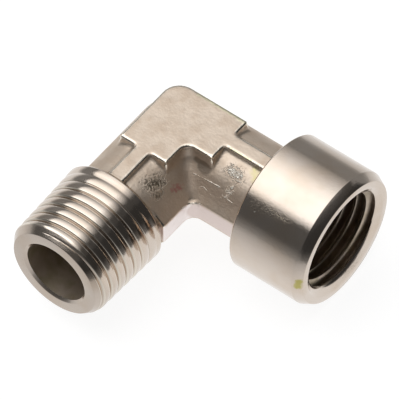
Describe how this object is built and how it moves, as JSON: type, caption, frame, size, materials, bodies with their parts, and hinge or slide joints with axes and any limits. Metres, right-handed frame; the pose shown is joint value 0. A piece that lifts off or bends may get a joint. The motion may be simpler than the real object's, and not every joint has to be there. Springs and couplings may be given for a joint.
{
  "type": "elbow fitting",
  "caption": "Forged nickel-plated brass right-angle pipe elbow with a taper male end and a threaded socket, for air, water or oil lines.",
  "frame": {"origin": "where the axes of the two ports cross, inside the bend", "axes": "+X along the socket's axis and out of its mouth, -Y along the male end's axis and out of its face, +Z square to both, up through the raised pad"},
  "size_m": [0.0297, 0.0314, 0.0168],
  "materials": {
    "nickel_plated_brass": "forged brass, satin nickel plated all over"
  },
  "bodies": {
    "root": {"elbow_body": "nickel_plated_brass"}
  },
  "joints": []
}
